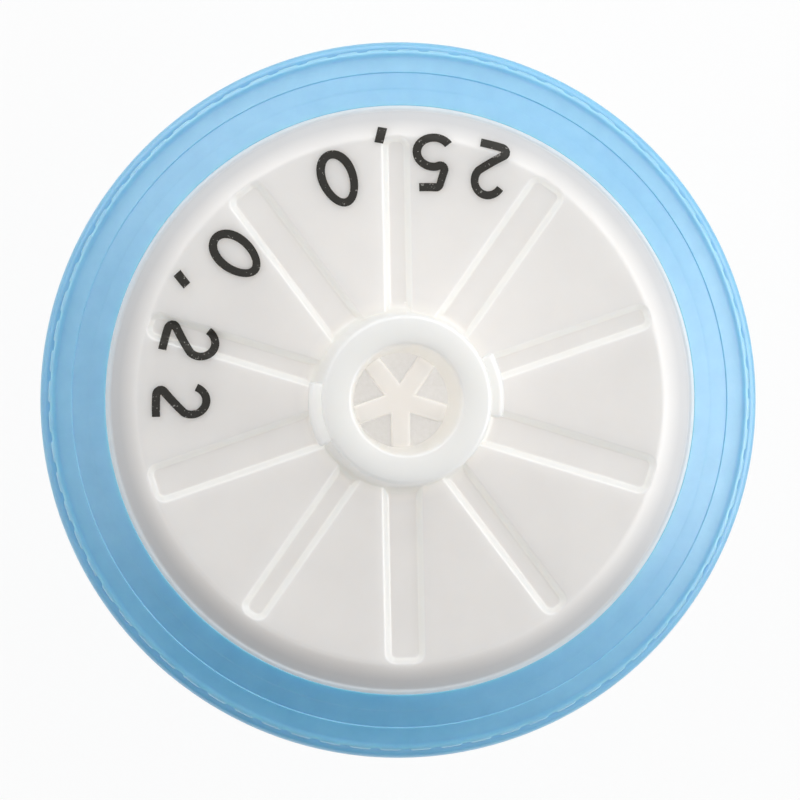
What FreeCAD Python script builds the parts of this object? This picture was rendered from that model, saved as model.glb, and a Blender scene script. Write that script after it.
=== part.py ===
"""Syringe filter: two moulded halves that clamp a membrane, held together by an overmoulded grip ring.

Millimetres, +Z along the flow axis with the inlet up. The origin is the centre of the outlet tip's end.
"""

import FreeCAD, Part
import os

from FreeCAD import Vector

# Heights, from the outlet tip upwards
CONE_END_Z = 8.6  # root of the male luer cone
BASE_Z = 9.8  # underside of the outlet plate
RING_BASE_Z = 9.95
LOWER_SHOULDER_Z = 10.85  # the ring's lower lip presses here
DRAIN_FLOOR_Z = 11.05  # bottom of the drain grooves
PARTING_Z = 11.6  # where the two halves meet, and the membrane's underside
MEMBRANE = 0.25  # membrane thickness
CEILING_Z = 12.35  # roof of the inlet chamber
RIM_EDGE_Z = 11.95  # top of the inlet half's rim at its outer edge
UPPER_SHOULDER_Z = 12.45  # top of that rim at the ring's upper lip
STAR_TOP_Z = 13.1
PAD_Z = 13.6  # top of the sector pads
HUB_TOP_Z = 22.0

# Radii of the disc
MEMBRANE_R = 12.5
POCKET_R = 12.55  # recess that centres the membrane
CHAMBER_R = 10.95  # wetted part of the membrane
PAD_R = 10.6
SLOPE_R = 11.65  # foot of the slope outside the pads
LIP_R = 11.86  # inner edge of the grip ring's lips
SHELL_R = 13.0  # rim of both halves, inside the ring
FLANGE_R = 14.5  # outside of the grip ring

# Luer fittings: a taper of 6 % on the diameter
TAPER = 0.03  # rise of the radius for each millimetre of length
SOCKET_R = 2.135  # mouth of the female luer
SOCKET_DEPTH = 7.5
PORT_END_Z = 13.25  # where the straight port opens into the star's pocket
STAR_POCKET_R = 2.15  # pocket round the star, open to the chamber
TIP_R = 1.985  # end of the male luer
FLOW_BORE_R = 0.95
HUB_R = 3.35
HUB_DRAFT = 0.018
HUB_FLARE = 0.42

# Locking lugs
LUG_R = 3.85
LUG_HEIGHT = 1.5
LUG_ANGLE = 40.0
LUG_MIDDLE = 8.0  # where the first lug is, in degrees from +X
LUG_LEAD = 5.0  # rise of the lug in one full turn

# Radial pattern
ARMS = 5  # wide channels, ribs and arms of the distribution star
PATTERN_START = 18.0  # first narrow channel, in degrees from +X
CHANNEL_DEPTH = 0.3
WALL_RUN = 0.3  # width of a channel's sloping wall
WIDE_CHANNEL = 1.36
NARROW_CHANNEL = 0.87
CHANNEL_END_R = 10.66
CHANNEL_CORNER = 0.2
WIDE_RIB = 0.8
NARROW_RIB = 0.5
RIB_END_R = 10.3

# Membrane support in the outlet half
SUPPORT_RIBS = 5
SUPPORT_PITCH = 1.75
SUPPORT_WIDTH = 0.6
SUPPORT_FIRST_R = 2.2
DRAIN_WIDTH = 0.8

# Grip ring
TEETH = 72
TOOTH_R = 14.16
TOOTH_ROOT_R = 13.88
GAP_WIDTH = 0.45
GAP_ROOT_WIDTH = 0.32
FLANGE_Z = 10.95  # top of the flange, where the gaps end
LEDGE_Z = 11.9  # top of the teeth
CONE_FOOT_R = 13.86  # where the conical top meets the teeth

MARGIN = 0.5  # how far a cutting tool runs past the material

Z_AXIS = Vector(0, 0, 1)
ORIGIN = Vector(0, 0, 0)


def profile(corners):
    """A closed wire through (radius, height) corners. A third value bevels the corner by that length."""
    points = []
    for i, (r, z, *bevel) in enumerate(corners):
        corner = Vector(r, 0, z)
        if not bevel:
            points.append(corner)
            continue
        for r_beside, z_beside, *_ in (corners[i - 1], corners[(i + 1) % len(corners)]):
            along = Vector(r_beside, 0, z_beside).sub(corner).normalize()
            points.append(corner.add(along.multiply(bevel[0])))
    return Part.makePolygon([*points, points[0]])


def turned(corners):
    """A solid of revolution about Z from its profile's corners."""
    return Part.Face(profile(corners)).revolve(ORIGIN, Z_AXIS, 360)


def cylinder(radius, low, high):
    return Part.makeCylinder(radius, high - low, Vector(0, 0, low))


def spoke(width, inner_r, outer_r, low, high):
    """A radial bar along +X."""
    return Part.makeBox(outer_r - inner_r, width, high - low, Vector(inner_r, -width / 2, low))


def patterned(shape, count, start):
    """Copies of a shape that lies along +X, spaced evenly round Z from the start angle."""
    copies = []
    for i in range(count):
        one = shape.copy()
        one.rotate(ORIGIN, Z_AXIS, start + i * 360.0 / count)
        copies.append(one)
    return copies


# Inlet half


def inlet_disc():
    """Pads, slope, bead and the rim that the ring covers, before any hub, chamber or channel."""
    bead_z = 13.02
    return turned(
        [
            (0, PARTING_Z),
            (SHELL_R, PARTING_Z),
            (SHELL_R, RIM_EDGE_Z),
            (LIP_R, UPPER_SHOULDER_Z),
            (LIP_R, bead_z),
            (SLOPE_R, bead_z),
            (PAD_R, PAD_Z),
            (0, PAD_Z),
        ]
    )


def channel(width):
    """The cutter for one shallow channel along +X, with sloping walls and a closed end."""
    inner_r = HUB_R - MARGIN

    def outline(spread, z):
        half = width / 2 - WALL_RUN / 2 + spread
        end = CHANNEL_END_R - WALL_RUN / 2 + spread
        corner = CHANNEL_CORNER + spread / 2
        right = [(inner_r, -half), (end - corner, -half), (end, corner - half)]
        left = [(x, -y) for x, y in reversed(right)]
        points = [Vector(x, y, z) for x, y in right + left]
        return Part.makePolygon([*points, points[0]])

    floor_z = PAD_Z - CHANNEL_DEPTH
    rise = CHANNEL_DEPTH + MARGIN / 2
    above = outline(rise * WALL_RUN / CHANNEL_DEPTH, floor_z + rise)
    return Part.makeLoft([outline(0, floor_z), above], True, True)


def hub():
    """The female luer's outer wall, with its flared foot."""
    foot_z = PAD_Z - CHANNEL_DEPTH
    foot_r = HUB_R + HUB_DRAFT * (HUB_TOP_Z - foot_z)
    return turned(
        [
            (0, CEILING_Z),
            (foot_r + HUB_FLARE, CEILING_Z),
            (foot_r + HUB_FLARE, foot_z),
            (foot_r, foot_z + HUB_FLARE, 0.15),
            (HUB_R, HUB_TOP_Z, 0.12),
            (0, HUB_TOP_Z),
        ]
    )


def lug():
    """One locking lug, centred on +X. It climbs along the luer lock's thread, and its underside slopes."""
    low = HUB_TOP_Z - 0.15 - LUG_HEIGHT
    inner_r = HUB_R - 0.3
    steps = 4
    sections = []
    for i in range(steps + 1):
        turn = LUG_ANGLE * (i / steps - 0.5)
        section = profile(
            [
                (inner_r, low - 0.35),
                (LUG_R, low + 0.15),
                (LUG_R, low + LUG_HEIGHT, 0.2),
                (inner_r, low + LUG_HEIGHT),
            ]
        )
        section.translate(Vector(0, 0, LUG_LEAD * (turn - LUG_ANGLE / 2) / 360.0))
        section.rotate(ORIGIN, Z_AXIS, turn)
        sections.append(section)
    return Part.makeLoft(sections, True)


def luer_socket():
    """The open space of the female luer: lead-in, taper, straight port and the pocket for the star."""
    foot_r = SOCKET_R - TAPER * SOCKET_DEPTH
    lead_in = 0.1
    return turned(
        [
            (0, CEILING_Z),
            (STAR_POCKET_R, CEILING_Z),
            (STAR_POCKET_R, PORT_END_Z),
            (foot_r, PORT_END_Z),
            (foot_r, HUB_TOP_Z - SOCKET_DEPTH),
            (SOCKET_R - TAPER * lead_in, HUB_TOP_Z - lead_in),
            (SOCKET_R + lead_in, HUB_TOP_Z),
            (SOCKET_R + lead_in, HUB_TOP_Z + MARGIN),
            (0, HUB_TOP_Z + MARGIN),
        ]
    )


def inlet_ribs():
    """Ten ribs that spread the flow over the membrane. The wide ones meet in a star at the port's foot."""
    low = PARTING_Z + MEMBRANE
    wide_start = PATTERN_START + 180.0 / ARMS
    ribs = patterned(spoke(WIDE_RIB, 0, RIB_END_R, low, CEILING_Z), ARMS, wide_start)
    ribs += patterned(spoke(NARROW_RIB, STAR_POCKET_R + 0.6, RIB_END_R, low, CEILING_Z), ARMS, PATTERN_START)
    ribs += patterned(spoke(WIDE_RIB, 0, STAR_POCKET_R + 0.2, low, STAR_TOP_Z), ARMS, wide_start)
    return ribs[0].fuse(ribs[1:])


def inlet_housing():
    """Luer-lock hub, channelled disc, and inside it the chamber with its ribs and star."""
    channels = patterned(channel(NARROW_CHANNEL), ARMS, PATTERN_START)
    channels += patterned(channel(WIDE_CHANNEL), ARMS, PATTERN_START + 180.0 / ARMS)
    body = inlet_disc().cut(Part.makeCompound(channels))
    body = body.fuse([hub(), *patterned(lug(), 2, LUG_MIDDLE)])
    chamber = cylinder(CHAMBER_R, PARTING_Z + MEMBRANE, CEILING_Z)
    flow_space = chamber.fuse(luer_socket()).cut(inlet_ribs())
    pocket = cylinder(POCKET_R, PARTING_Z, PARTING_Z + MEMBRANE)
    return body.cut([flow_space, pocket]).removeSplitter()


# Outlet half


def outlet_body():
    """Male luer, flared boss, plate and the rim that the ring covers."""
    boss_r = 3.0
    flare_r = 4.3
    return turned(
        [
            (0, 0),
            (TIP_R, 0, 0.15),
            (TIP_R + TAPER * CONE_END_Z, CONE_END_Z),
            (boss_r, CONE_END_Z, 0.15),
            (boss_r + 0.25, BASE_Z - 0.5),
            (flare_r, BASE_Z),
            (LIP_R, BASE_Z),
            (LIP_R, LOWER_SHOULDER_Z),
            (SHELL_R, LOWER_SHOULDER_Z),
            (SHELL_R, PARTING_Z),
            (0, PARTING_Z),
        ]
    )


def drain_space():
    """The space under the membrane: grooves between the support ribs, radial drains and the flow bore."""
    space = cylinder(CHAMBER_R, DRAIN_FLOOR_Z, PARTING_Z)
    for i in range(SUPPORT_RIBS):
        inner = SUPPORT_FIRST_R + i * SUPPORT_PITCH
        rib = cylinder(inner + SUPPORT_WIDTH, DRAIN_FLOOR_Z, PARTING_Z)
        space = space.cut(rib.cut(cylinder(inner, DRAIN_FLOOR_Z, PARTING_Z)))
    drain = spoke(DRAIN_WIDTH, 0, CHAMBER_R - 0.2, DRAIN_FLOOR_Z, PARTING_Z)
    flow_bore = cylinder(FLOW_BORE_R, -MARGIN, DRAIN_FLOOR_Z)
    return space.fuse([*patterned(drain, ARMS, PATTERN_START), flow_bore])


def outlet_housing():
    return outlet_body().cut(drain_space()).removeSplitter()


def membrane():
    return cylinder(MEMBRANE_R, PARTING_Z, PARTING_Z + MEMBRANE)


# Grip ring


def toothed_band():
    """The band of grip teeth: flat lands, with narrow gaps between them that widen outwards."""
    gap = [
        Vector(TOOTH_R, -GAP_WIDTH / 2, FLANGE_Z),
        Vector(TOOTH_ROOT_R, -GAP_ROOT_WIDTH / 2, FLANGE_Z),
        Vector(TOOTH_ROOT_R, GAP_ROOT_WIDTH / 2, FLANGE_Z),
        Vector(TOOTH_R, GAP_WIDTH / 2, FLANGE_Z),
    ]
    points = []
    for i in range(TEETH):
        turn = FreeCAD.Rotation(Z_AXIS, i * 360.0 / TEETH)
        points += [turn.multVec(corner) for corner in gap]
    outline = Part.makePolygon([*points, points[0]])
    return Part.Face(outline).extrude(Vector(0, 0, LEDGE_Z - FLANGE_Z))


def seal_ring():
    """A C section round both rims, with a conical top, grip teeth and a smooth flange below them."""
    hoop = turned(
        [
            (SHELL_R, LOWER_SHOULDER_Z),
            (LIP_R, LOWER_SHOULDER_Z),
            (LIP_R, RING_BASE_Z),
            (FLANGE_R, RING_BASE_Z, 0.3),
            (FLANGE_R, FLANGE_Z, 0.2),
            (CONE_FOOT_R, FLANGE_Z),
            (CONE_FOOT_R, LEDGE_Z),
            (LIP_R, 12.95),
            (LIP_R, UPPER_SHOULDER_Z),
            (SHELL_R, RIM_EDGE_Z),
        ]
    )
    inside = cylinder(SHELL_R + 0.2, FLANGE_Z, LEDGE_Z)
    return hoop.fuse(toothed_band().cut(inside)).removeSplitter()


NODES = {
    "inlet_housing": inlet_housing,
    "outlet_housing": outlet_housing,
    "membrane": membrane,
    "seal_ring": seal_ring,
}

os.makedirs("parts", exist_ok=True)
for name, build in NODES.items():
    shape = build()
    state = "valid" if shape.isValid() else "NOT VALID"
    print(name, state, len(shape.Solids), "solid,", round(shape.Volume, 1), "mm3")
    shape.exportStep(f"parts/{name}.step")
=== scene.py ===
"""Looks of the syringe filter: fine housings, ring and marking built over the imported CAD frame.

Shapes are worked out in millimetres, in the frame's own axes, and turned into metres when a mesh is made.
"""

import bmesh
import bpy
import math
import numpy as np

from mathutils import Matrix, Vector
from mathutils.geometry import delaunay_2d_cdt

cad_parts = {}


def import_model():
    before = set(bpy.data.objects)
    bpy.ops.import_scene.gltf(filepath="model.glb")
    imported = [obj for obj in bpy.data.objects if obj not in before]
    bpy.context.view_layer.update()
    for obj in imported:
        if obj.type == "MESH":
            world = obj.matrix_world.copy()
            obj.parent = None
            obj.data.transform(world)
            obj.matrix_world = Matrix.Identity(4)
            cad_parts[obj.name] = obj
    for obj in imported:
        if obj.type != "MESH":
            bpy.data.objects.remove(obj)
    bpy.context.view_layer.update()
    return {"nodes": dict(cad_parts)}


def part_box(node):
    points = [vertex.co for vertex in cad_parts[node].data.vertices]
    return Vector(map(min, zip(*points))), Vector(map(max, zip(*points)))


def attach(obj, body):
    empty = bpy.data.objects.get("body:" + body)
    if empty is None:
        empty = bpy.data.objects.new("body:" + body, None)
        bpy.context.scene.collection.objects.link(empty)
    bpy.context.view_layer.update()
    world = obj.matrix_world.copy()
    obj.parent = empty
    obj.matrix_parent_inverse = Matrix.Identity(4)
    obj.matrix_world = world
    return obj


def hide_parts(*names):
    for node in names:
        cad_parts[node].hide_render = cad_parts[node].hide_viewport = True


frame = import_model()

MM = 0.001


def low(node):
    """Lower corner of a node's box, in millimetres."""
    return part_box(node)[0] / MM


def high(node):
    """Upper corner of a node's box, in millimetres."""
    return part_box(node)[1] / MM


# Sizes that the frame gives
HUB_TOP_Z = high("inlet_housing").z
SHELL_R = high("inlet_housing").x
PARTING_Z = low("inlet_housing").z
MEMBRANE_TOP_Z = high("membrane").z
FLANGE_R = high("seal_ring").x
RING_BASE_Z = low("seal_ring").z
RING_TOP_Z = high("seal_ring").z

# Inlet half
PAD_Z = RING_TOP_Z + 0.65  # top of the sector pads
FLOOR_Z = PAD_Z - 0.3  # floor of the shallow channels
STAR_TOP_Z = PAD_Z - 0.5
PORT_END_Z = PAD_Z - 0.35  # where the straight port opens into the star's pocket
BEAD_Z = RING_TOP_Z + 0.07
BEAD_FOOT_Z = BEAD_Z - 0.02
BEAD_CROWN = 0.03  # how far the bead stands over its foot
UPPER_SHOULDER_Z = RING_TOP_Z - 0.5  # top of the rim, under the ring's lip
RIM_EDGE_Z = RING_TOP_Z - 1.0  # top of the rim at its outer edge
CEILING_Z = RING_TOP_Z - 0.6  # roof of the inlet chamber
CHAMBER_R = 10.95  # wetted part of the membrane
POCKET_R = 12.55  # recess that centres the membrane
PAD_R = 10.6
SLOPE_R = 11.65  # foot of the slope outside the pads
LIP_R = 11.86  # inner edge of the ring's lips
SOCKET_R = 2.135  # mouth of the female luer
SOCKET_DEPTH = 7.5
TAPER = 0.03  # rise of a luer's radius for each millimetre of length
STAR_POCKET_R = 2.15
STAR_BEVEL = 0.15
HUB_R = 3.35
HUB_DRAFT = 0.018
HUB_FLARE = 0.42
HUB_FLARE_RISE = 0.6
LUG_R = 3.85
LUG_HEIGHT = 1.5
LUG_DROP = 0.15  # from the hub's end down to a lug
LUG_ROOT = 0.6  # how deep a lug reaches into the hub
LUG_ANGLE = 40.0
LUG_MIDDLE = 8.0  # where the first lug is, in degrees from +X
LUG_LEAD = 5.0  # rise of a lug in one full turn

# Radial pattern
ARMS = 5  # wide channels, ribs and arms of the star
PATTERN_START = 18.0  # first narrow channel, in degrees from +X
WIDE_START = PATTERN_START + 180.0 / ARMS
WALL_RUN = 0.22  # width of a channel's sloping wall
WALL_REACH = 0.22  # how far from a channel's edge its wall can be felt
WIDE_CHANNEL = 1.36
NARROW_CHANNEL = 0.87
CHANNEL_END_R = 10.5
CHANNEL_CORNER = 0.35
WIDE_RIB = 0.8
NARROW_RIB = 0.5
RIB_END_R = 10.3
SOFTNESS = 0.08  # width over which the moulding's edges are blended

# Outlet half
TIP_R = 1.985
CONE_END_Z = 8.6
BASE_Z = RING_BASE_Z - 0.15
LOWER_SHOULDER_Z = RING_BASE_Z + 0.9
DRAIN_FLOOR_Z = PARTING_Z - 0.55  # bottom of the grooves under the membrane
FLOW_BORE_R = 0.95
SUPPORT_RIBS = 5
SUPPORT_PITCH = 1.75
SUPPORT_WIDTH = 0.6
SUPPORT_FIRST_R = 2.2
DRAIN_WIDTH = 0.8

# Grip ring
TEETH = 72
TOOTH_R = 14.16
TOOTH_ROOT_R = 13.89  # bottom of the gaps, at the flange
TOOTH_TOP_ROOT_R = 14.1  # bottom of the gaps, at the ledge
TOOTH_EDGE_RUN = 0.2  # rounding of the teeth's top edge, inwards
TOOTH_EDGE_DROP = 0.13  # and downwards
CONE_FOOT_R = 13.82  # where the conical top meets the teeth
GAP_WIDTH = 0.45
GAP_ROOT_WIDTH = 0.32
FLANGE_Z = RING_BASE_Z + 1.0  # top of the flange, where the gaps end
LEDGE_Z = RING_BASE_Z + 1.95  # top of the teeth
GROOVE_IN_R = 12.53
GROOVE_OUT_R = 13.23
GROOVE_DEPTH = 0.03

SEGMENTS = 360  # facets round a turned surface


# Mesh helpers


def rounded(corners, steps=5):
    """Points of a closed (radius, height) profile. A corner's third value is the radius of its rounding."""
    points = []
    for i, (r, z, *rounding) in enumerate(corners):
        corner = Vector((r, z))
        if not rounding:
            points.append(corner)
            continue
        before = (Vector(corners[i - 1][:2]) - corner).normalized()
        after = (Vector(corners[(i + 1) % len(corners)][:2]) - corner).normalized()
        half = before.angle(after) / 2
        centre = corner + (before + after).normalized() * rounding[0] / math.sin(half)
        start = corner + before * rounding[0] / math.tan(half) - centre
        end = corner + after * rounding[0] / math.tan(half) - centre
        for step in range(steps + 1):
            arm = start.lerp(end, step / steps).normalized() if half < math.pi / 2 - 1e-6 else start
            points.append(centre + arm * rounding[0])
    return points


def ring_faces(rows, count, closed):
    """Quads between rows of points, each row a loop. A closed surface joins its last row to its first."""
    faces = []
    for row in range(rows if closed else rows - 1):
        a, b = row * count, (row + 1) % rows * count
        for i in range(count):
            j = (i + 1) % count
            faces.append((a + i, a + j, b + j, b + i))
    return faces


def lathe(points, closed=True):
    """Vertices and faces of a profile turned about Z."""
    turns = [math.tau * i / SEGMENTS for i in range(SEGMENTS)]
    verts = [(p.x * math.cos(t), p.x * math.sin(t), p.y) for p in points for t in turns]
    return verts, ring_faces(len(points), SEGMENTS, closed)


def swept(sections, closed=False):
    """Vertices and faces of a solid through sections of equal length, with flat ends or closed on itself."""
    count = len(sections[0])
    verts = [tuple(p) for section in sections for p in section]
    ends = [] if closed else [tuple(range(count))[::-1], tuple(range(len(verts) - count, len(verts)))]
    return verts, ends + ring_faces(len(sections), count, closed)


def spoke(width, inner, outer, low_z, high_z, turn):
    """A radial bar, turned about Z by an angle in degrees."""
    ends = [(inner, -width / 2), (outer, -width / 2), (outer, width / 2), (inner, width / 2)]
    turned = Matrix.Rotation(math.radians(turn), 3, "Z")
    return swept([[turned @ Vector((x, y, z)) for x, y in ends] for z in (low_z, high_z)])


def star(width, outer, low_z, high_z, start, bevel=0.0):
    """Radial arms that meet in the middle, as one upright prism with bevelled top edges."""
    step = math.pi / ARMS
    levels = [(low_z, 0.0), (high_z, 0.0)]
    if bevel:
        arcs = [(math.sin(a), math.cos(a)) for a in np.linspace(0, math.pi / 2, 4)]
        levels[1:] = [(high_z - bevel * (1 - rise), bevel * (1 - run)) for rise, run in arcs]
    sections = []
    for z, inset in levels:
        half = width / 2 - inset
        section = []
        for i in range(ARMS):
            turned = Matrix.Rotation(math.radians(start) + 2 * step * i, 2)
            corners = ((outer, -half), (outer, half), (half / math.tan(step), half))
            section += [(*(turned @ Vector(p)), z) for p in corners]
        sections.append(section)
    return swept(sections)


def joined(parts):
    """One list of vertices and faces from several."""
    verts, faces = [], []
    for part_verts, part_faces in parts:
        start = len(verts)
        verts += list(part_verts)
        faces += [tuple(start + i for i in face) for face in part_faces]
    return verts, faces


def new_object(name, parts):
    """A Blender object from one (vertices, faces) pair or more, in metres, with outward faces."""
    verts, faces = joined(parts)
    mesh = bpy.data.meshes.new(name)
    mesh.from_pydata([Vector(v) * MM for v in verts], [], faces)
    obj = bpy.data.objects.new(name, mesh)
    bpy.context.scene.collection.objects.link(obj)
    shell = bmesh.new()
    shell.from_mesh(mesh)
    bmesh.ops.remove_doubles(shell, verts=shell.verts, dist=2e-7)
    bmesh.ops.recalc_face_normals(shell, faces=shell.faces)
    bmesh.ops.triangulate(shell, faces=shell.faces)
    shell.to_mesh(mesh)
    shell.free()
    return obj


def baked(obj):
    """The object's mesh as its modifiers leave it."""
    return bpy.data.meshes.new_from_object(obj.evaluated_get(bpy.context.evaluated_depsgraph_get()))


def combine(obj, tool, operation):
    """Joins a tool to an object, or cuts it away, and removes the tool."""
    modifier = obj.modifiers.new(operation, "BOOLEAN")
    modifier.operation = operation
    modifier.solver = "EXACT"
    modifier.use_self = True
    modifier.object = tool
    obj.data = baked(obj)
    obj.modifiers.clear()
    bpy.data.objects.remove(tool)


def shade(obj, angle=35):
    """Smooth faces with sharp edges kept, weighted by area so that flats stay flat."""
    obj.data.shade_smooth()
    obj.data.set_sharp_from_angle(angle=math.radians(angle))
    modifier = obj.modifiers.new("weighted", "WEIGHTED_NORMAL")
    modifier.keep_sharp = True


def dress(obj, material, replaces=None):
    """Gives a piece its material, hangs it under the root, and hides the CAD node that it stands for."""
    obj.data.materials.clear()
    obj.data.materials.append(material)
    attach(obj, "root")
    if replaces:
        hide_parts(replaces)


# The relief of the inlet half's top, as one height over the plane


def soft_max(a, b):
    """The larger of two heights, blended where they come closer than SOFTNESS."""
    blend = np.clip(SOFTNESS - np.abs(a - b), 0, None)
    return np.maximum(a, b) + blend**2 / (4 * SOFTNESS)


def soft_min(a, b):
    return -soft_max(-a, -b)


def foot_radius():
    """Radius of the drafted hub at the level of the channels' floor."""
    return HUB_R + HUB_DRAFT * (HUB_TOP_Z - FLOOR_Z)


# Angle and width of each channel
CHANNELS = [
    (PATTERN_START + 180.0 / ARMS * i, (NARROW_CHANNEL, WIDE_CHANNEL)[i % 2])
    for i in range(2 * ARMS)
]


def channel_distance(x, y, angle, width):
    """How far a point is outside the edge of a channel, and below zero inside it."""
    turn = math.radians(angle)
    ahead = x * math.cos(turn) + y * math.sin(turn)
    along = ahead - (CHANNEL_END_R - CHANNEL_CORNER)
    across = np.abs(y * math.cos(turn) - x * math.sin(turn)) - (width / 2 - CHANNEL_CORNER)
    outside = np.hypot(np.clip(along, 0, None), np.clip(across, 0, None))
    distance = outside + np.clip(np.maximum(along, across), None, 0) - CHANNEL_CORNER
    return np.where(ahead > 0, distance, CHANNEL_END_R)  # a channel ends at the hub


def relief(x, y):
    """Height of the inlet half's top surface between the hub and the ring."""
    r = np.hypot(x, y)
    slope = PAD_Z - (r - PAD_R) * (PAD_Z - BEAD_Z) / (SLOPE_R - PAD_R)
    top = soft_max(soft_min(np.full_like(r, PAD_Z), slope), np.full_like(r, BEAD_FOOT_Z))
    for angle, width in CHANNELS:
        distance = channel_distance(x, y, angle, width)
        wall = FLOOR_Z + (distance + WALL_RUN / 2) * (PAD_Z - FLOOR_Z) / WALL_RUN
        top = soft_min(top, soft_max(wall, np.full_like(r, FLOOR_Z)))
    inside = np.clip(foot_radius() + HUB_FLARE - r, 0, HUB_FLARE)
    flare = FLOOR_Z + HUB_FLARE_RISE * (1 - np.sqrt(1 - (inside / HUB_FLARE) ** 2))
    top = soft_max(top, np.where(inside > 0, flare, FLOOR_Z - 1))
    bead = np.clip((r - SLOPE_R) / (LIP_R - SLOPE_R), 0, 1)
    return top + BEAD_CROWN * np.sin(math.pi * bead) ** 2


def channel_lines(angle, width):
    """Lines along a channel's walls, at several distances from its edge."""
    turn = math.radians(angle)
    cos, sin = math.cos(turn), math.sin(turn)
    start, end = foot_radius() + 0.12, CHANNEL_END_R - CHANNEL_CORNER
    half = width / 2 - CHANNEL_CORNER
    lines = []
    for distance in np.linspace(-WALL_REACH, WALL_REACH, 15):
        reach = CHANNEL_CORNER + distance
        right = [(u, -half - reach) for u in np.linspace(start, end, 24)[:-1]]
        for a in np.linspace(0, math.pi / 2, 12):
            right.append((end + reach * math.sin(a), -half - reach * math.cos(a)))
        line = right + [(u, -v) for u, v in reversed(right)]
        lines.append([(u * cos - v * sin, u * sin + v * cos) for u, v in line])
    return lines


def circle(radius):
    """Points round the flow axis, one for each facet of a turned surface."""
    turns = [math.tau * i / SEGMENTS for i in range(SEGMENTS)]
    return [(radius * math.cos(t), radius * math.sin(t)) for t in turns]


def height_at(radius):
    """Height of the relief on +X, where no channel runs."""
    return float(relief(np.array([radius]), np.array([0.0]))[0])


def relief_mesh(inner_r):
    """The top surface between two circles, with vertices along every edge of the relief."""
    points, edges = [], []

    def add(line, closed):
        start = len(points)
        points.extend(line)
        edges.extend((start + i, start + i + 1) for i in range(len(line) - 1))
        if closed:
            edges.append((start + len(line) - 1, start))

    # Circles lie closer together where the surface bends: at the hub's flare, the pads' edge and the bead
    radii = [inner_r, *np.linspace(inner_r + 0.04, foot_radius() + HUB_FLARE + 0.1, 9)]
    radii += [PAD_R + gap for gap in (-0.4, -0.3, -0.2, -0.13, -0.06, 0, 0.06, 0.13, 0.2, 0.3, 0.4)]
    radii += [SLOPE_R - 0.3, *np.linspace(SLOPE_R - 0.16, LIP_R, 10)]
    for radius in radii:
        add(circle(radius), True)
    for angle, width in CHANNELS:
        for line in channel_lines(angle, width):
            add(line, False)
    verts, _, faces, *_ = delaunay_2d_cdt([Vector(p) for p in points], edges, [], 0, 1e-5)
    flat = np.array([(v.x, v.y) for v in verts])
    heights = relief(flat[:, 0], flat[:, 1])
    hole_r = inner_r * math.cos(math.pi / SEGMENTS)
    kept = [face for face in faces if np.hypot(*flat[list(face)].mean(0)) > hole_r]
    return [(x, y, z) for (x, y), z in zip(flat.tolist(), heights.tolist())], kept


def shade_relief(obj):
    """Gives the relief its true normals, so that its shading doesn't show the mesh."""
    obj.data = mesh = baked(obj)
    obj.modifiers.clear()
    normals = np.array([normal.vector for normal in mesh.corner_normals])
    corners = np.array([loop.vertex_index for loop in mesh.loops])
    places = np.array([vert.co for vert in mesh.vertices])[corners] / MM
    x, y, z = places.T
    r = np.hypot(x, y)
    touching = np.abs(z - relief(x, y)) < 0.002
    inside = (r > foot_radius() + 0.02) & (r < LIP_R - 0.01)
    faces = np.repeat(np.arange(len(mesh.polygons)), [len(face.loop_indices) for face in mesh.polygons])
    whole = np.ones(len(mesh.polygons), bool)
    np.logical_and.at(whole, faces, touching)
    step = 0.01
    slope_x = (relief(x - step, y) - relief(x + step, y)) / (2 * step)
    slope_y = (relief(x, y - step) - relief(x, y + step)) / (2 * step)
    true = np.stack([slope_x, slope_y, np.ones_like(slope_x)], 1)
    chosen = touching & inside & whole[faces]
    normals[chosen] = (true / np.linalg.norm(true, axis=1, keepdims=True))[chosen]
    mesh.normals_split_custom_set(normals.tolist())


# Pieces


def lug(turn):
    """One locking lug: a block with rounded edges and ends that climbs along the thread."""
    low_z = HUB_TOP_Z - LUG_DROP - LUG_HEIGHT
    high_z = low_z + LUG_HEIGHT
    middle_z = low_z + LUG_HEIGHT / 2
    inner = HUB_R - LUG_ROOT
    shape = [(inner, low_z - 0.35), (LUG_R, low_z + 0.15, 0.12), (LUG_R, high_z, 0.22), (inner, high_z)]
    # Share of the lug's length from its middle, and how far the section shrinks there
    ends = [(-0.5, 0.16), (-0.49, 0.06), (-0.47, 0.0)]
    stations = ends + [(share, 0.0) for share in np.linspace(-0.4, 0.4, 9)]
    stations += [(-share, inset) for share, inset in reversed(ends)]
    sections = []
    for share, inset in stations:
        rise = LUG_LEAD * LUG_ANGLE * (share - 0.5) / 360
        angle = math.radians(turn + LUG_ANGLE * share)
        section = []
        for p in rounded(shape):
            r = p.x - (inset if p.x > inner + 0.01 else 0)
            z = p.y + (middle_z - p.y) * inset / LUG_HEIGHT * 2 + rise
            section.append(Vector((r * math.cos(angle), r * math.sin(angle), z)))
        sections.append(section)
    return swept(sections)


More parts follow.
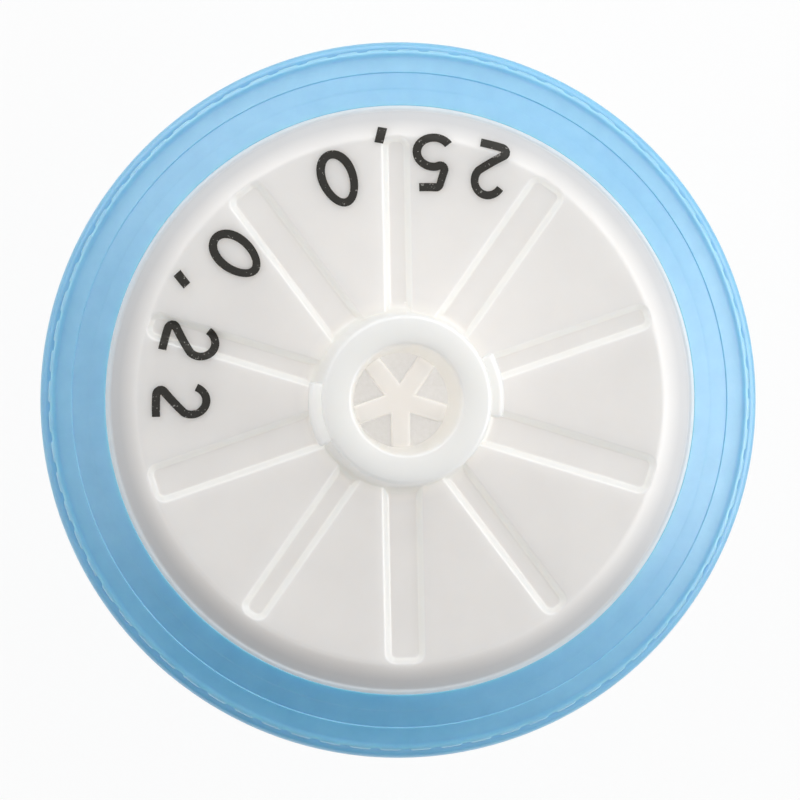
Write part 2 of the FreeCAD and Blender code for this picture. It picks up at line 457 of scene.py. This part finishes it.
def inlet_housing():
    """Hub, socket, channelled disc, chamber with its ribs and star, and two lugs."""
    foot_r = foot_radius()
    inner_r = foot_r + 0.012
    socket_foot = SOCKET_R - TAPER * SOCKET_DEPTH
    hub_start = FLOOR_Z + HUB_FLARE_RISE + 0.05
    profile = [
        (inner_r, height_at(inner_r)),
        (foot_r - HUB_DRAFT * (hub_start - FLOOR_Z), hub_start),
        (HUB_R, HUB_TOP_Z, 0.18),
        (SOCKET_R + 0.06, HUB_TOP_Z, 0.12),
        (SOCKET_R - TAPER * 0.3, HUB_TOP_Z - 0.3, 0.3),
        (socket_foot, HUB_TOP_Z - SOCKET_DEPTH),
        (socket_foot, PORT_END_Z),
        (STAR_POCKET_R, PORT_END_Z),
        (STAR_POCKET_R, CEILING_Z),
        (CHAMBER_R, CEILING_Z),
        (CHAMBER_R, MEMBRANE_TOP_Z),
        (POCKET_R, MEMBRANE_TOP_Z),
        (POCKET_R, PARTING_Z),
        (SHELL_R, PARTING_Z),
        (SHELL_R, RIM_EDGE_Z),
        (LIP_R, UPPER_SHOULDER_Z),
        (LIP_R, height_at(LIP_R)),
    ]
    body = new_object("inlet_body", [relief_mesh(inner_r), lathe(rounded(profile), closed=False)])
    ribs = [
        spoke(NARROW_RIB, STAR_POCKET_R + 0.6, RIB_END_R, MEMBRANE_TOP_Z, CEILING_Z + 0.2, turn)
        for turn in np.arange(ARMS) * 360.0 / ARMS + PATTERN_START
    ]
    ribs.append(star(WIDE_RIB, RIB_END_R, MEMBRANE_TOP_Z, CEILING_Z + 0.2, WIDE_START))
    # A hair narrower than the ribs, so that no two walls share a plane
    arm, outer, low_z = WIDE_RIB - 0.002, STAR_POCKET_R + 0.2, MEMBRANE_TOP_Z + 0.1
    upper_star = star(arm, outer, low_z, STAR_TOP_Z, WIDE_START, STAR_BEVEL)
    combine(body, new_object("ribs", ribs), "UNION")
    combine(body, new_object("upper_star", [upper_star]), "UNION")
    combine(body, new_object("lugs", [lug(LUG_MIDDLE), lug(LUG_MIDDLE + 180)]), "UNION")
    body.name = "inlet_housing_moulding"
    shade(body)
    shade_relief(body)
    return body


def outlet_housing():
    """Male luer with its bore, flared boss, plate, and the ribbed membrane support."""
    profile = [
        (FLOW_BORE_R, 0, 0.08),
        (TIP_R, 0, 0.2),
        (TIP_R + TAPER * CONE_END_Z, CONE_END_Z, 0.15),
        (3.0, CONE_END_Z, 0.2),
        (3.25, BASE_Z - 0.5, 0.4),
        (4.3, BASE_Z, 0.5),
        (LIP_R, BASE_Z, 0.12),
        (LIP_R, LOWER_SHOULDER_Z),
        (SHELL_R, LOWER_SHOULDER_Z),
        (SHELL_R, PARTING_Z),
        (CHAMBER_R, PARTING_Z),
        (CHAMBER_R, DRAIN_FLOOR_Z),
    ]
    for i in reversed(range(SUPPORT_RIBS)):
        inner = SUPPORT_FIRST_R + i * SUPPORT_PITCH
        outer = inner + SUPPORT_WIDTH
        profile += [(outer, DRAIN_FLOOR_Z), (outer, PARTING_Z), (inner, PARTING_Z), (inner, DRAIN_FLOOR_Z)]
    profile.append((FLOW_BORE_R, DRAIN_FLOOR_Z, 0.2))
    body = new_object("outlet_body", [lathe(rounded(profile))])
    inner, outer = FLOW_BORE_R + 0.6, CHAMBER_R - 0.2
    low_z, high_z = DRAIN_FLOOR_Z + 0.001, PARTING_Z + 0.5
    drains = [
        spoke(DRAIN_WIDTH, inner, outer, low_z, high_z, PATTERN_START + i * 360.0 / ARMS)
        for i in range(ARMS)
    ]
    combine(body, new_object("drains", drains), "DIFFERENCE")
    body.name = "outlet_housing_moulding"
    shade(body)
    return body


def tooth_outline():
    """(angle, radius) round one pitch of the grip teeth, from a gap's middle to the next one's."""
    pitch = math.tau / TEETH
    root = [
        (0.0, TOOTH_ROOT_R),
        (GAP_ROOT_WIDTH / 2 - 0.05, TOOTH_ROOT_R),
        (GAP_ROOT_WIDTH / 2, TOOTH_ROOT_R + 0.05),
    ]
    crown = [
        (GAP_WIDTH / 2 - 0.02, TOOTH_R - 0.09),
        (GAP_WIDTH / 2 + 0.01, TOOTH_R - 0.03),
        (GAP_WIDTH / 2 + 0.07, TOOTH_R),
    ]
    half = [(across / r, r) for across, r in root + crown]
    return half + [(pitch / 2, TOOTH_R)] + [(pitch - a, r) for a, r in reversed(half[1:])]


def seal_ring():
    """A C section with a grooved conical top, grip teeth and a smooth flange. Rows run round the section."""
    cone = (RING_TOP_Z - LEDGE_Z) / (LIP_R - CONE_FOOT_R)

    def cone_z(r):
        return LEDGE_Z + cone * (r - CONE_FOOT_R)

    plain = rounded(
        [
            (CONE_FOOT_R, FLANGE_Z + 0.4),
            (CONE_FOOT_R, LEDGE_Z),
            (GROOVE_OUT_R + 0.01, cone_z(GROOVE_OUT_R), 0.02),
            (GROOVE_OUT_R - 0.03, cone_z(GROOVE_OUT_R) - GROOVE_DEPTH, 0.02),
            (GROOVE_IN_R + 0.03, cone_z(GROOVE_IN_R) - GROOVE_DEPTH, 0.02),
            (GROOVE_IN_R - 0.01, cone_z(GROOVE_IN_R), 0.02),
            (LIP_R, RING_TOP_Z, 0.03),
            (LIP_R, UPPER_SHOULDER_Z),
            (SHELL_R, RIM_EDGE_Z),
            (SHELL_R, LOWER_SHOULDER_Z),
            (LIP_R, LOWER_SHOULDER_Z),
            (LIP_R, RING_BASE_Z, 0.08),
            (FLANGE_R, RING_BASE_Z, 0.34),
            (FLANGE_R, FLANGE_Z, 0.28),
            (CONE_FOOT_R, FLANGE_Z),
        ]
    )[1:-1]
    band = [(TOOTH_R, FLANGE_Z), (TOOTH_R, LEDGE_Z - TOOTH_EDGE_DROP)]
    for a in np.linspace(0, math.pi / 2, 7)[1:]:
        run, drop = TOOTH_EDGE_RUN * (1 - math.cos(a)), TOOTH_EDGE_DROP * (1 - math.sin(a))
        band.append((TOOTH_R - run, LEDGE_Z - drop))
    outline = tooth_outline()[:-1]
    columns = [(math.tau * tooth / TEETH + a, r) for tooth in range(TEETH) for a, r in outline]
    rows = [(p.x, p.y, 0) for p in plain] + [(r, z, 1) for r, z in band]
    verts = []
    for r, z, toothed in rows:
        rise = min(1.0, max(0.0, (z - FLANGE_Z) / (LEDGE_Z - FLANGE_Z)))
        root = TOOTH_ROOT_R + rise * (TOOTH_TOP_ROOT_R - TOOTH_ROOT_R)
        for angle, tooth_r in columns:
            depth = (TOOTH_R - tooth_r) / (TOOTH_R - TOOTH_ROOT_R)
            radius = min(r, TOOTH_R + depth * (root - TOOTH_R)) if toothed else r
            verts.append((radius * math.cos(angle), radius * math.sin(angle), z))
    faces = ring_faces(len(rows), len(columns), closed=True)
    ring = new_object("seal_ring_moulding", [(verts, faces)])
    shade(ring)
    return ring


# Marking: plain figures printed round the pads, in strokes of one width

FIGURE_HEIGHT = 2.35
STROKE = 0.33
FIGURE_GAP = 0.45  # share of the figures' height
MARK_CENTRE = Vector((1.05, -0.33))  # the print sits off the axis
MARK_FOOT_R = 11.05
INK = 0.02  # thickness of the ink over the surface
INK_STEP = 0.08
SIZES = (("25,0", 69.5), ("0,22", 136.0))  # each with the angle where it starts


def arc(x, y, rx, ry, start, end, steps):
    """Points of an elliptic arc between two angles in degrees."""
    angles = np.radians(np.linspace(start, end, steps + 1))
    return [(x + rx * math.cos(a), y + ry * math.sin(a)) for a in angles]


# Width and stroke of each figure, as shares of the height. A stroke that ends where it starts is closed.
FIGURES = {
    "0": (0.62, arc(0.31, 0.5, 0.26, 0.43, 90, 450, 40)),
    "2": (0.6, arc(0.31, 0.68, 0.25, 0.25, 165, -32, 24) + [(0.05, 0.07, 0.08), (0.58, 0.07)]),
    "5": (
        0.58,
        [(0.52, 0.93), (0.14, 0.93, 0.075), (0.03, 0.5, 0.075)] + arc(0.26, 0.33, 0.28, 0.25, 100, -145, 24),
    ),
    ",": (0.14, [(0.1, 0.1), (0.0, -0.15)]),
}


def resampled(line, step):
    """Points along a line at even distances, with its sharp corners kept."""
    points = [line[0]]
    for target in line[1:]:
        parts = max(1, round((target - points[-1]).length / step))
        start = points[-1].copy()
        points += [start.lerp(target, (i + 1) / parts) for i in range(parts)]
    return points


def stroke_sides(points, closed):
    """For each point of a line, the direction across it, longer at a corner so that the width holds."""
    sides = []
    for i, point in enumerate(points):
        before = points[i - 1] if closed or i else None
        after = points[(i + 1) % len(points)] if closed or i < len(points) - 1 else None
        one = (point - before).normalized() if before is not None else (after - point).normalized()
        two = (after - point).normalized() if after is not None else one
        along = (one + two).normalized()
        across = Vector((-along.y, along.x))
        sides.append(across / max(0.4, across.dot(Vector((-one.y, one.x)))))
    return sides


def draped(line, start_angle, shift):
    """A stroke of ink over the relief, as a closed ribbon partly sunk in the surface."""
    line = rounded(line, 10)
    closed = (line[0] - line[-1]).length < 1e-6
    points = resampled(line, INK_STEP / FIGURE_HEIGHT)
    points = points[:-1] if closed else points
    middle_r = MARK_FOOT_R - FIGURE_HEIGHT / 2
    sections = []
    for point, side in zip(points, stroke_sides(points, closed)):
        section = []
        for offset in np.linspace(-0.5, 0.5, 5):
            at = (point + Vector((shift, 0))) * FIGURE_HEIGHT + side * STROKE * offset
            angle = math.radians(start_angle) + at.x / middle_r
            section.append(MARK_CENTRE + (MARK_FOOT_R - at.y) * Vector((math.cos(angle), math.sin(angle))))
        flat = np.array(section)
        heights = relief(flat[:, 0], flat[:, 1])
        top = [(x, y, z + INK) for (x, y), z in zip(flat, heights)]
        bottom = [(x, y, z - 2 * INK) for (x, y), z in zip(flat, heights)]
        sections.append(top + bottom[::-1])
    return swept(sections, closed)


def marking():
    """The figures, each of one stroke, as one piece."""
    strokes = []
    for text, start_angle in SIZES:
        shift = 0.0
        for figure in text:
            width, line = FIGURES[figure]
            strokes.append(draped(line, start_angle, shift))
            shift += width + FIGURE_GAP
    ink = new_object("size_marking", strokes)
    shade(ink, 50)
    return ink


# Materials

FLOOR_WHITE = 0.9  # share of plain white in what is seen of the floor


class Graph:
    """Short calls for building one material's nodes."""

    def __init__(self, name):
        self.material = bpy.data.materials.new(name)
        self.material.use_nodes = True
        self.tree = self.material.node_tree
        self.shader = self.tree.nodes["Principled BSDF"]
        self.output = self.tree.nodes["Material Output"]

    def node(self, kind, **inputs):
        made = self.tree.nodes.new(kind)
        for key, value in inputs.items():
            self.set(made, key, value)
        return made

    def set(self, node, key, value):
        """Sets or links an input: by its name, with _ for a space, or by its number, as in i0."""
        socket = node.inputs[int(key[1:]) if key[0] == "i" and key[1:].isdigit() else key.replace("_", " ")]
        if isinstance(value, bpy.types.NodeSocket):
            self.tree.links.new(value, socket)
        else:
            socket.default_value = value

    def math(self, operation, *values):
        """The result of a sum on numbers or sockets."""
        made = self.tree.nodes.new("ShaderNodeMath")
        made.operation = operation
        for i, value in enumerate(values):
            self.set(made, f"i{i}", value)
        return made.outputs[0]

    def position(self):
        """A point's place on the piece, in metres."""
        return self.tree.nodes.new("ShaderNodeTexCoord").outputs["Object"]

    def radius(self):
        """Distance from the flow axis, in millimetres."""
        apart = self.tree.nodes.new("ShaderNodeSeparateXYZ")
        self.tree.links.new(self.position(), apart.inputs[0])
        squares = [self.math("POWER", self.math("MULTIPLY", apart.outputs[i], 1 / MM), 2.0) for i in (0, 1)]
        return self.math("SQRT", self.math("ADD", *squares))

    def uprightness(self):
        """How far the surface faces up along the flow axis: 1 on a flat, 0 on an upright wall."""
        apart = self.tree.nodes.new("ShaderNodeSeparateXYZ")
        self.tree.links.new(self.tree.nodes.new("ShaderNodeTexCoord").outputs["Normal"], apart.inputs[0])
        return apart.outputs[2]

    def noise(self, scale, detail=3.0, roughness=0.5):
        """Even noise, with a scale in features per millimetre."""
        made = self.node("ShaderNodeTexNoise", Scale=scale / MM, Detail=detail, Roughness=roughness)
        self.tree.links.new(self.position(), made.inputs["Vector"])
        return made.outputs["Fac"]

    def ramp(self, value, *stops):
        """Colours along a value, through (place, colour) stops in rising order."""
        made = self.tree.nodes.new("ShaderNodeValToRGB")
        ramp = made.color_ramp
        for place, _ in stops[1:-1]:
            ramp.elements.new(place)
        for element, (place, colour) in zip(ramp.elements, stops):
            element.position = place
            element.color = colour
        self.tree.links.new(value, made.inputs["Fac"])
        return made.outputs["Color"]

    def stretch(self, value, start, end, low=0.0, high=1.0):
        """A value's way from start to end, as a share or between two other limits, and held at both ends."""
        made = self.tree.nodes.new("ShaderNodeMapRange")
        for i, v in enumerate((value, start, end, low, high)):
            self.set(made, f"i{i}", v)
        return made.outputs[0]

    def mix(self, factor, a, b):
        """A blend of two colours."""
        made = self.tree.nodes.new("ShaderNodeMix")
        made.data_type = "RGBA"
        for i, v in ((0, factor), (6, a), (7, b)):
            self.set(made, f"i{i}", v)
        return made.outputs[2]

    def satin(self, coat_ior):
        """The soft white gloss of moulded polypropylene."""
        self.set(self.shader, "IOR", 1.5)
        self.set(self.shader, "Specular_IOR_Level", 1.0)
        self.set(self.shader, "Coat_Weight", 1.0)
        self.set(self.shader, "Coat_Roughness", 0.4)
        self.set(self.shader, "Coat_IOR", coat_ior)

    def scatter(self, radius, scale):
        """Light that wanders under the surface, for a scale in millimetres."""
        self.set(self.shader, "Subsurface_Weight", 1.0)
        self.set(self.shader, "Subsurface_Radius", radius)
        self.set(self.shader, "Subsurface_Scale", scale * MM)

    def translucent(self, colour):
        """Lets lamps shine through thin walls: rays from lamps pass each face, tinted by a colour."""
        clear = self.node("ShaderNodeBsdfTransparent", Color=colour)
        mixed = self.tree.nodes.new("ShaderNodeMixShader")
        self.set(mixed, "i0", self.tree.nodes.new("ShaderNodeLightPath").outputs["Is Shadow Ray"])
        self.set(mixed, "i1", self.shader.outputs[0])
        self.set(mixed, "i2", clear.outputs[0])
        self.set(self.output, "Surface", mixed.outputs[0])

    def bump(self, height, strength, distance):
        """Fine relief, with its full height in millimetres."""
        made = self.node("ShaderNodeBump", Strength=strength, Distance=distance * MM, Height=height)
        self.tree.links.new(made.outputs[0], self.shader.inputs["Normal"])


def natural_polypropylene():
    """Milky white, with painted shade that dims the slope outside the pads, a painted highlight on the bead,
    and painted light on the slanted walls and the hub.
    """
    g = Graph("natural_polypropylene")
    # The first colour is the milky white; the second is painted shade for the slope outside the pads; the
    # third is a painted highlight on the bead and painted light on walls and hub.
    pads, painted_rim_shade, light = (0.87, 0.85, 0.83, 1), (0.64, 0.638, 0.642, 1), (0.955, 0.925, 0.885, 1)
    radius, upright = g.radius(), g.uprightness()
    # Painted shade darkens the slope outside the pads, and a painted highlight lightens the bead.
    painted_zones = g.ramp(g.stretch(radius, PAD_R, LIP_R), (0.04, pads), (0.56, painted_rim_shade), (0.8, painted_rim_shade), (0.88, light))
    cloudy = g.mix(g.stretch(g.noise(0.35), 0.35, 0.65, 0.0, 0.12), painted_zones, painted_rim_shade)
    # Painted light: the slanted walls and the hub round the bore are lightened towards the pale colour. The
    # star stays as dim as the port's foot.
    painted_wall_light = g.math("MINIMUM", g.stretch(upright, 0.98, 0.8), g.stretch(upright, 0.0, 0.3))
    painted_wall_light = g.math("MINIMUM", painted_wall_light, g.stretch(radius, PAD_R + 0.05, PAD_R - 0.15))
    outer, inner = g.stretch(radius, LUG_R + 0.3, HUB_R + 0.1), g.stretch(radius, 1.7, 1.9, 0.2)
    hub = g.math("MINIMUM", outer, inner)
    # Mixes the painted light of walls and hub over the base colour.
    g.set(g.shader, "Base_Color", g.mix(g.math("MAXIMUM", painted_wall_light, hub), cloudy, light))
    g.set(g.shader, "Roughness", g.stretch(g.noise(1.2), 0.3, 0.7, 0.36, 0.46))
    g.satin(1.8)
    g.scatter((1.0, 0.95, 0.9), 1.5)
    g.translucent((0.96, 0.96, 0.96, 1))
    g.bump(g.noise(5.0, 4.0), 0.12, 0.02)
    return g.material


def blue_polypropylene():
    """Light blue and mottled, with a painted sheen that pales the grip's outer edge."""
    g = Graph("light_blue_polypropylene")
    mottle = g.stretch(g.noise(0.9, 4.0, 0.6), 0.3, 0.7)
    colour = g.mix(mottle, (0.075, 0.47, 0.76, 1), (0.12, 0.53, 0.81, 1))
    radius = g.radius()
    # Painted sheen: a band along the grip teeth is paled towards a lighter blue, in noisy patches.
    rising, falling = g.stretch(radius, 13.85, TOOTH_R), g.stretch(radius, FLANGE_R - 0.15, TOOTH_R + 0.05)
    edge = g.math("MINIMUM", rising, falling)
    painted_sheen = g.math("MULTIPLY", edge, g.stretch(g.noise(1.5), 0.25, 0.75, 0.25, 0.75))
    g.set(g.shader, "Base_Color", g.mix(painted_sheen, colour, (0.3, 0.64, 0.86, 1)))
    g.set(g.shader, "Roughness", g.stretch(g.noise(2.0), 0.3, 0.7, 0.40, 0.52))
    g.satin(2.3)
    g.scatter((0.6, 0.9, 1.0), 0.5)
    g.translucent((0.6, 0.8, 0.9, 1))
    g.bump(g.noise(2.5, 4.0), 0.2, 0.03)
    return g.material


def ptfe_membrane():
    """Matt white with fine fibres."""
    g = Graph("ptfe_membrane")
    fibres = g.stretch(g.noise(6.0, 6.0, 0.7), 0.3, 0.7)
    g.set(g.shader, "Base_Color", g.mix(fibres, (0.88, 0.87, 0.85, 1), (0.94, 0.93, 0.92, 1)))
    g.set(g.shader, "Roughness", 0.85)
    g.scatter((1.0, 1.0, 1.0), 0.5)
    g.translucent((0.9, 0.9, 0.9, 1))
    g.bump(fibres, 0.3, 0.03)
    return g.material


def marking_ink():
    """Near black, with a few specks where the ink is thin."""
    g = Graph("marking_ink")
    specks = g.stretch(g.noise(9.0, 2.0), 0.66, 0.72)
    g.set(g.shader, "Base_Color", g.mix(specks, (0.02, 0.018, 0.014, 1), (0.3, 0.29, 0.27, 1)))
    g.set(g.shader, "Roughness", g.stretch(g.noise(4.0), 0.3, 0.7, 0.5, 0.7))
    return g.material


def white_floor():
    """Shows the camera and its reflections a white that keeps a little of the object's shadow."""
    g = Graph("white_floor")
    g.set(g.shader, "Base_Color", g.mix(g.noise(0.02), (0.9, 0.9, 0.9, 1), (0.92, 0.92, 0.92, 1)))
    g.set(g.shader, "Roughness", 0.8)
    glow = g.node("ShaderNodeEmission", Color=(1, 1, 1, 1), Strength=1.0)
    path = g.tree.nodes.new("ShaderNodeLightPath")
    seen = g.math("MAXIMUM", path.outputs["Is Camera Ray"], path.outputs["Is Glossy Ray"])
    seen = g.math("MAXIMUM", seen, path.outputs["Is Transmission Ray"])
    mixed = g.node("ShaderNodeMixShader")
    g.set(mixed, "i0", g.math("MULTIPLY", seen, FLOOR_WHITE))
    g.tree.links.new(g.shader.outputs[0], mixed.inputs[1])
    g.tree.links.new(glow.outputs[0], mixed.inputs[2])
    g.set(g.output, "Surface", mixed.outputs[0])
    return g.material


# Stage

# Soft lamps round the object: azimuth in degrees from +X towards +Y, and radiance
SOFT_LAMPS = ((0, 1.96), (60, 1.2), (120, 1.33), (180, 0.66), (315, 0.42))
LAMP_ELEVATION = 34.0
LAMP_SIZE = 0.25  # metres across
LAMP_DISTANCE = 0.25
AMBIENT = 0.28  # level of the studio between its lamps


def floor():
    """A round white floor with a low wall at its edge, so that level views see white too."""
    side, wall = 1500.0, 300.0
    profile = [Vector((0.01, 0)), Vector((side, 0)), Vector((side, wall))]
    obj = new_object("floor", [lathe(profile, closed=False)])
    obj.data.materials.append(white_floor())


def world():
    """A plain dim studio."""
    made = bpy.data.worlds.new("studio")
    bpy.context.scene.world = made
    made.use_nodes = True
    background = made.node_tree.nodes["Background"].inputs
    background["Color"].default_value = (1, 1, 1, 1)
    background["Strength"].default_value = AMBIENT


def soft_lamp(azimuth, radiance):
    """A round lamp aimed at the disc, equally bright all over."""
    light = bpy.data.lights.new("soft_lamp", "AREA")
    light.shape = "DISK"
    light.size = LAMP_SIZE
    light.energy = radiance * math.pi * math.pi * (LAMP_SIZE / 2) ** 2
    a, e = math.radians(azimuth), math.radians(LAMP_ELEVATION)
    target = Vector((0, 0, PAD_Z * MM))
    away = Vector((math.cos(a) * math.cos(e), math.sin(a) * math.cos(e), math.sin(e)))
    lamp = bpy.data.objects.new("soft_lamp", light)
    lamp.location = target + away * LAMP_DISTANCE
    lamp.rotation_euler = away.to_track_quat("Z", "Y").to_euler()
    bpy.context.scene.collection.objects.link(lamp)


def camera():
    """Almost straight above the hub, far away, as a product picture is taken."""
    distance, tilt, roll = 0.35, math.radians(1.7), math.radians(1.08)
    frame_width, sensor = 0.03244, 36.0
    target = Vector((0.00007, 0.0, 0.01045))
    back = Vector((-math.sin(tilt), 0, math.cos(tilt)))
    up = Vector((math.sin(roll), math.cos(roll), 0))
    right = up.cross(back).normalized()
    up = back.cross(right)
    data = bpy.data.cameras.new("camera")
    data.sensor_width = sensor
    data.lens = sensor * distance / frame_width
    data.clip_start = 0.01
    obj = bpy.data.objects.new("camera", data)
    turned = Matrix((right, up, back)).transposed().to_4x4()
    obj.matrix_world = Matrix.Translation(target + back * distance) @ turned
    bpy.context.scene.collection.objects.link(obj)
    bpy.context.scene.camera = obj


polypropylene = natural_polypropylene()
dress(inlet_housing(), polypropylene, "inlet_housing")
dress(outlet_housing(), polypropylene, "outlet_housing")
dress(seal_ring(), blue_polypropylene(), "seal_ring")
dress(marking(), marking_ink())
membrane = frame["nodes"]["membrane"]
membrane.material_slots[0].material = ptfe_membrane()

floor()
world()
for lamp_azimuth, lamp_radiance in SOFT_LAMPS:
    soft_lamp(lamp_azimuth, lamp_radiance)
camera()
bpy.context.scene.view_settings.view_transform = "Standard"
